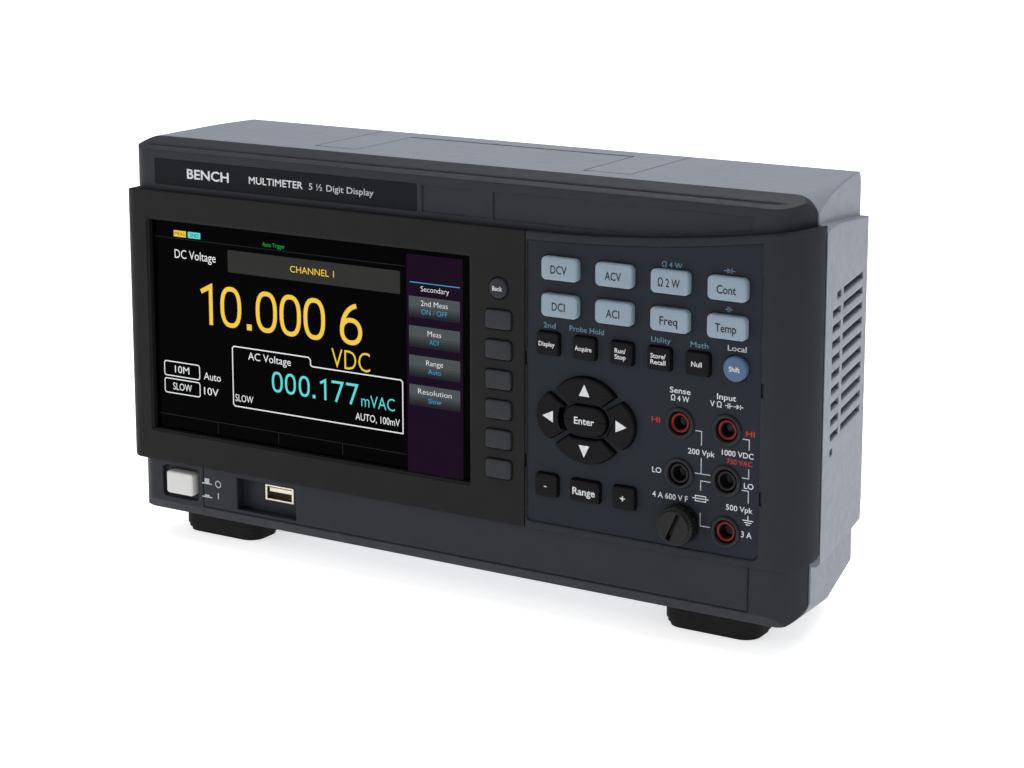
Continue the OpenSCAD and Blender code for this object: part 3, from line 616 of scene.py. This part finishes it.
def fuse_knob():
    """Slotted bayonet knob with a fluted rim."""
    node = "fuse_cap"
    x, z = middle(node)
    front = front_of(node)
    flutes, n = 30, 240
    rim = []
    for k in range(n):
        a = 2 * math.pi * k / n
        r = 7.4 - 0.22 * (0.5 + 0.5 * math.cos(flutes * a)) ** 3
        rim.append((x + r * math.cos(a), z + r * math.sin(a)))
    piece = Piece()
    layers = [(shrunk(rim, 1.8), -0.4), (shrunk(rim, 0.3), -0.4), (rim, -0.8), (rim, -4.7),
              (shrunk(rim, 0.25), -5.2), (shrunk(rim, 0.8), -5.4), (ring(6.3, x, z, n), -5.4)]
    stacked(piece, layers, KNOB, close=False)
    wall = [(ring(6.3, x, z, n), -5.4), (ring(6.25, x, z, n), front + 0.3), (ring(5.95, x, z, n), front)]
    stacked(piece, wall, KNOB, close=False)
    tilt = math.radians(66)
    along, across = Vector((math.cos(tilt), math.sin(tilt))), Vector((-math.sin(tilt), math.cos(tilt)))

    def at(u, v):
        p = along * u + across * v
        return x + p.x, z + p.y

    half, reach, floor = 0.9, 5.5, -4.0
    for s in (1, -1):
        arc = []
        for k in range(61):
            a = math.pi * k / 60
            u, v = 5.95 * math.cos(a), 5.95 * math.sin(a)
            arc.append(at(u, s * max(v, 0)))
        slot_edge = [at(-reach, 0), at(-reach, s * half), at(reach, s * half), at(reach, 0)]
        outline = arc + slot_edge
        if s < 0:
            outline = outline[::-1]
        piece.face_set([(px, front, pz) for px, pz in outline], [list(range(len(outline)))], KNOB)
    hole = [at(-reach, -half), at(reach, -half), at(reach, half), at(-reach, half)]
    stacked(piece, [(hole, front), (hole, floor)], KNOB, soft=False)
    turned(piece, x, z, [(5.6, -0.4), (5.2, 0), (5.2, 28), (3.4, 28), (3.4, 4)], MOULDED)
    piece.finish("knob_of_fuse_cap", "fuse_carrier", "moulded_black", [node])


fuse_knob()

x, z = middle("power_button")
piece = Piece()
front = front_of("power_button")
cap(piece, rounded(14, 9.6, 1.3, x, z), 8.5, front, BUTTON, 0.8, 0.12, (x, z))
stacked(piece, [(rounded(16, 11.6, 2.2, x, z), 9.5), (rounded(16, 11.6, 2.2, x, z), 8.5),
                (rounded(13, 8.6, 1.1, x, z), 8.5)],
        BUTTON, soft=False, close=False)
brick(piece, x - 2, x + 2, 9.4, 20.5, z - 2, z + 2, BUTTON)
piece.finish("cap_of_power_button", "power_button_body", "button_white", ["power_button"])


# ---------------------------------------------------------------- printing on the keypad panel

face = front_of("keypad_panel") - LIFT
panel = Piece()
column = {name: middle(name) for name in ("key_resistance", "key_continuity", "key_temperature", "key_display",
                                          "key_acquire", "key_run_stop", "key_recall", "key_null", "key_shift",
                                          "sense_high_jack", "sense_low_jack", "input_high_jack", "input_low_jack",
                                          "current_jack", "fuse_cap")}


def diode(x, z, s, finish):
    stroke(panel, [(x - 2 * s, z), (x + 2 * s, z)], 0.3 * s, finish, face)
    patch(panel, [(x - 0.8 * s, z - 0.9 * s), (x + 0.7 * s, z), (x - 0.8 * s, z + 0.9 * s)], finish, face)
    stroke(panel, [(x + 0.8 * s, z - 0.9 * s), (x + 0.8 * s, z + 0.9 * s)], 0.3 * s, finish, face)


def capacitor(x, z, s, finish):
    for sign in (-1, 1):
        stroke(panel, [(x + sign * 0.35 * s, z - s), (x + sign * 0.35 * s, z + s)], 0.32 * s, finish, face)
        stroke(panel, [(x + sign * 0.35 * s, z), (x + sign * 1.5 * s, z)], 0.32 * s, finish, face)


def printed(text, x, z, high, wide, finish=INK_WHITE, align=0, weight=0.008):
    words(panel, text, x, z - high / 2, high, finish, face, wide, align, weight)


x, z = column["key_resistance"]
printed("Ω 4 W", x, z + 6.0, 2.0, 8.2, INK_BLUE)
x, z = column["key_continuity"]
diode(x, z + 6.2, 1.1, INK_BLUE)
x, z = column["key_temperature"]
capacitor(x, z + 6.2, 1.0, INK_BLUE)
up = 6.7
for name, text, wide, dx in (("key_display", "2nd", 5.2, 0), ("key_acquire", "Probe Hold", 14.6, 0.3),
                             ("key_recall", "Utility", 8.0, 0), ("key_null", "Math", 7.2, 0)):
    x, z = column[name]
    printed(text, x + dx, z + up, 2.0, wide, INK_BLUE)
x, z = column["key_shift"]
printed("Local", x, z + 7.2, 2.0, 7.4, INK_GREY)

sx, sz = column["sense_high_jack"]
ix, iz = column["input_high_jack"]
lx, lz = column["sense_low_jack"]
jx, jz = column["input_low_jack"]
cx, cz = column["current_jack"]
fx, fz = column["fuse_cap"]
printed("Sense", sx, sz + 12.1, 2.1, 8.4)
printed("Ω 4 W", sx, sz + 9.2, 2.1, 7.4)
printed("Input", ix - 0.4, iz + 12.1, 2.1, 7.6)
printed("V Ω", ix - 4.6, iz + 9.1, 2.1, 4.6)
capacitor(ix + 0.6, iz + 9.1, 0.95, INK_WHITE)
diode(ix + 4.4, iz + 9.1, 0.95, INK_WHITE)
printed("HI", sx - 9.8, sz, 2.0, 3.4, INK_RED)
printed("HI", ix + 9.3, iz - 0.2, 2.0, 3.4, INK_RED)
printed("LO", lx - 9.2, lz, 2.0, 3.8)
printed("LO", jx + 9.0, jz - 0.6, 2.0, 3.8)
thin = 0.34
mid = (sx + ix) / 2 - 0.6
stroke(panel, [(sx + 6.4, sz - 1.9), (mid, sz - 1.9), (mid, sz - 7.2)], thin, INK_GREY, face)
stroke(panel, [(mid, lz + 7.2), (mid, lz + 1.2), (lx + 6.4, lz + 1.2)], thin, INK_GREY, face)
stroke(panel, [(mid, lz + 1.2), (jx - 6.4, lz + 1.2)], thin, INK_GREY, face)
printed("200 Vpk", mid, lz + 9.2, 2.0, 10.8)
out = ix + 8.9
stroke(panel, [(ix + 6.2, iz - 2.4), (out, iz - 2.4), (out, iz - 6.4)], thin, INK_GREY, face)
printed("1000 VDC", ix + 4.4, iz - 8.4, 2.0, 12.6)
printed("750 VAC", ix + 5.2, iz - 11.4, 1.8, 10.2, INK_RED)
stroke(panel, [(out, jz + 5.8), (out, jz + 2.2), (jx + 6.2, jz + 2.2)], thin, INK_GREY, face)
stroke(panel, [(jx + 6.2, jz - 2.4), (out, jz - 2.4), (out, jz - 7.0)], thin, INK_GREY, face)
printed("500 Vpk", jx + 5.4, jz - 9.6, 2.0, 10.6)
link = cx - 10.2
stroke(panel, [(jx - 6.2, jz - 1.4), (link, jz - 1.4), (link, jz - 5.2)], thin, INK_GREY, face)
stroke(panel, [(link, cz + 5.6), (link, cz + 0.6), (cx - 6.2, cz + 0.6)], thin, INK_GREY, face)
fuse_z = jz - 8.2
stroke(panel, [(link - 2.1, fuse_z - 1.0), (link + 2.1, fuse_z - 1.0), (link + 2.1, fuse_z + 1.0),
               (link - 2.1, fuse_z + 1.0)],
       thin, INK_WHITE, face, True)
stroke(panel, [(link - 3.3, fuse_z), (link + 3.3, fuse_z)], thin, INK_WHITE, face)
printed("4 A 600 V F", fx - 4.6, fz + 9.4, 2.1, 14.6)
printed("3 A", cx + 8.4, cz + 0.2, 2.2, 4.2)
gz = cz + 5.6
stroke(panel, [(out, gz + 1.9), (out, gz)], thin, INK_WHITE, face)
for k in range(3):
    stroke(panel, [(out - 2.1 + 0.65 * k, gz - 0.8 * k), (out + 2.1 - 0.65 * k, gz - 0.8 * k)], thin,
           INK_WHITE, face)
panel.finish("keypad_printing", CHASSIS, "panel_slate")


# ---------------------------------------------------------------- printing on the plates and the lower strip

plate = Piece()
y = front_of("title_plate") - LIFT
pz0 = (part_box("title_plate")[0].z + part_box("title_plate")[1].z) / 2 / MM
words(plate, "BENCH", -123.6, pz0 - 1.9, 3.8, INK_WHITE, y, 21.5, -1, 0.02)
words(plate, "MULTIMETER", -91.9, pz0 - 1.4, 2.8, INK_WHITE, y, 26.7, -1, 0.01)
words(plate, "5 ½ Digit Display", -62.2, pz0 - 1.3, 2.5, INK_GREY, y, 31.0, -1, 0.006)
plate.finish("title_printing", CHASSIS, "plate_black")

low = Piece()
y = 3 - LIFT
bx, bz = middle("power_button")
sym = bx + 13.4
for row, pressed in ((1.9, False), (-3.9, True)):
    h = 0.8 if pressed else 2.0
    patch(low, [(sym - 1.2, bz + row), (sym + 1.2, bz + row), (sym + 1.2, bz + row + h),
                (sym - 1.2, bz + row + h)],
          INK_GREY, y)
    stroke(low, [(sym - 2.6, bz + row - 0.2), (sym + 2.6, bz + row - 0.2)], 0.5, INK_GREY, y)
stroke(low, ring(1.35, sym + 5.9, bz + 2.2, 28), 0.42, INK_GREY, y, True)
stroke(low, [(sym + 5.9, bz - 4.2), (sym + 5.9, bz - 1.6)], 0.5, INK_GREY, y)
low.finish("power_printing", CHASSIS, "bezel_charcoal")


# ---------------------------------------------------------------- front USB contacts

ux, uz = middle("usb_socket")
usb = Piece()
brick(usb, ux - 5.5, ux + 5.5, 9.2, 20, uz + 0.35, uz + 1.95, MOULDED)
for k in range(4):
    brick(usb, ux - 4.1 + 2.35 * k, ux - 3.0 + 2.35 * k, 9.6, 19, uz + 0.2, uz + 0.36, STEEL)
usb.finish("usb_tongue", CHASSIS, "moulded_black")


# ---------------------------------------------------------------- picture on the display

y0 = front_of("display_window")
FAR, NEAR, TOP = y0 - 0.02, y0 - 0.05, y0 - 0.07
left, right = -141.4, 9.8
ui = Piece()
patch(ui, [(-16.0, 47.6), (right, 47.6), (right, 135.0), (-16.0, 135.0)], LIT_PLUM, FAR)
patch(ui, [(-131.2, 130.6), (-124.8, 130.6), (-124.8, 133.2), (-131.2, 133.2)], LIT_YELLOW, NEAR)
words(ui, "MEAS", -128.0, 131.2, 1.4, LIT_GREY, TOP, 5.2)
patch(ui, [(-123.8, 130.6), (-117.3, 130.6), (-117.3, 133.2), (-123.8, 133.2)], LIT_TEAL, NEAR)
words(ui, "2ND", -120.5, 131.2, 1.4, LIT_GREY, TOP, 4.6)
stroke(ui, [(left, 129.8), (-16.6, 129.8)], 0.25, LIT_LINE, NEAR)
words(ui, "Auto Trigger", -80.0, 130.9, 1.7, LIT_GREEN, NEAR, 11.2)
words(ui, "DC Voltage", -131.0, 121.6, 3.6, LIT_WHITE, NEAR, 21.4, -1)
patch(ui, rounded(84.4, 9.2, 0.5, -61.2, 123.0, 2), LIT_GREY, NEAR)
words(ui, "CHANNEL 1", -61.2, 121.7, 2.6, LIT_YELLOW, TOP, 21.5)
for digit, x0, x1 in (("1", -118.6, -111.7), ("0", -107.7, -97.0), (".", -94.3, -91.8), ("0", -89.6, -78.9),
                      ("0", -77.6, -67.0), ("0", -65.7, -55.1), ("6", -47.9, -37.2)):
    numeral(ui, digit, x0, x1, 95.2, 112.3, 1.9, LIT_YELLOW, NEAR)
words(ui, "VDC", -33.6, 85.0, 7.9, LIT_YELLOW, NEAR, 18.6, 1, -0.01)
for text, zz in (("10M", 74.1), ("SLOW", 66.7)):
    stroke(ui, rounded(18.6, 6.1, 1.0, -128.7, zz, 3), 0.45, LIT_WHITE, NEAR, True)
    words(ui, text, -128.7, zz - 1.5, 3.0, LIT_WHITE, NEAR, 7.6 if text == "10M" else 10.0)
words(ui, "Auto", -117.2, 71.6, 3.1, LIT_WHITE, NEAR, 8.8, -1)
words(ui, "10V", -117.3, 65.2, 3.1, LIT_WHITE, NEAR, 7.6, -1)
stroke(ui, [(-101.2, 87.6), (-63.6, 87.6), (-62.6, 86.6), (-62.6, 84.6), (-61.8, 84.0),
            (-19.0, 84.0), (-18.2, 83.2), (-18.2, 62.4),
            (-101.2, 62.4), (-102.0, 63.2), (-102.0, 86.8)], 0.5, LIT_WHITE, NEAR, True)
words(ui, "AC Voltage", -83.2, 82.9, 3.1, LIT_WHITE, NEAR, 21.6)
for digit, x0, x1 in (("0", -82.1, -76.7), ("0", -75.5, -70.1), ("0", -68.6, -63.2), (".", -61.8, -60.4),
                      ("1", -58.5, -55.0), ("7", -52.4, -46.6), ("7", -45.3, -39.5)):
    numeral(ui, digit, x0, x1, 71.0, 79.6, 1.05, LIT_TEAL, NEAR)
words(ui, "mVAC", -22.0, 70.8, 5.0, LIT_TEAL, NEAR, 16.0, 1, -0.008)
words(ui, "SLOW", -101.0, 64.6, 2.9, LIT_WHITE, NEAR, 9.2, -1)
words(ui, "AUTO, 100mV", -19.7, 65.0, 2.9, LIT_WHITE, NEAR, 21.2, 1)
stroke(ui, [(left, 54.2), (-16.6, 54.2)], 0.25, LIT_LINE, NEAR)
for xx in (-110.4, -79.2, -47.4):
    stroke(ui, [(xx, 54.2), (xx, 49.4)], 0.25, LIT_LINE, NEAR)
stroke(ui, [(-14.4, 123.9), (8.5, 123.9)], 0.35, LIT_BLUE, NEAR)
words(ui, "Secondary", -2.9, 120.6, 2.1, LIT_WHITE, NEAR, 13.0, 0, -0.01)
for k, (top_line, low_line) in enumerate((("2nd Meas", "ON / OFF"), ("Meas", "ACV"), ("Range", "Auto"),
                                          ("Resolution", "Slow"))):
    zz = 114.2 - 11.75 * k
    for j in range(8):
        shade = (78, 84, 86) if j < 4 else (78 - 10 * (j - 3), 84 - 11 * (j - 3), 86 - 11 * (j - 3))
        key_tone = bpy.data.materials.get("lit_bar_%d" % j) or glow("lit_bar_%d" % j, shade)
        z1 = zz + 4.2 - 8.4 * j / 8
        patch(ui, [(-15.0, z1 - 1.05), (8.5, z1 - 1.05), (8.5, z1), (-15.0, z1)], key_tone, NEAR)
    words(ui, top_line, -3.2, zz + 0.7, 2.1, LIT_WHITE, TOP, 1.55 * len(top_line), 0, -0.01)
    words(ui, low_line, -3.2, zz - 2.6, 2.0, LIT_BLUE, TOP, 1.5 * len(low_line), 0, -0.008)
ui.finish("display_picture", CHASSIS, "screen_glass")


# ---------------------------------------------------------------- floor and light

floor_mesh = bpy.data.meshes.new("floor")
floor_mesh.from_pydata([(-40, -40, 0), (40, -40, 0), (40, 40, 0), (-40, 40, 0)], [], [[0, 1, 2, 3]])
floor = bpy.data.objects.new("floor", floor_mesh)
scene.collection.objects.link(floor)
n = Nodes("floor_pale")
pale = n.mix(n.remap(n.noise(3, 3), 0.3, 0.7, 0, 1), (0.93, 0.93, 0.93, 1), (0.95, 0.95, 0.95, 1))
n.set(Base_Color=pale, Roughness=0.9, Specular_IOR_Level=0.0, Emission_Color=(1, 1, 1, 1))
n.set(Emission_Strength=0.62)
floor_mesh.materials.append(n.mat)

world = bpy.data.worlds.new("studio")
scene.world = world
world.use_nodes = True
world.node_tree.nodes["Background"].inputs["Color"].default_value = (1, 1, 1, 1)
world.node_tree.nodes["Background"].inputs["Strength"].default_value = 0.42


def softbox(name, place, aim, width, height, watts):
    data = bpy.data.lights.new(name, "AREA")
    data.shape = "RECTANGLE"
    data.size, data.size_y = width, height
    data.energy = watts
    lamp = bpy.data.objects.new(name, data)
    scene.collection.objects.link(lamp)
    lamp.location = place
    lamp.rotation_euler = (Vector(aim) - Vector(place)).to_track_quat("-Z", "Y").to_euler()


softbox("overhead", (0.1, 0.35, 1.5), (0, 0, 0.1), 1.8, 1.2, 26)
softbox("left_fill", (-1.3, -1.1, 0.9), (0, 0, 0.08), 1.0, 1.0, 9)
softbox("right_fill", (1.6, -0.2, 0.7), (0.1, 0, 0.08), 1.0, 1.0, 1.5)
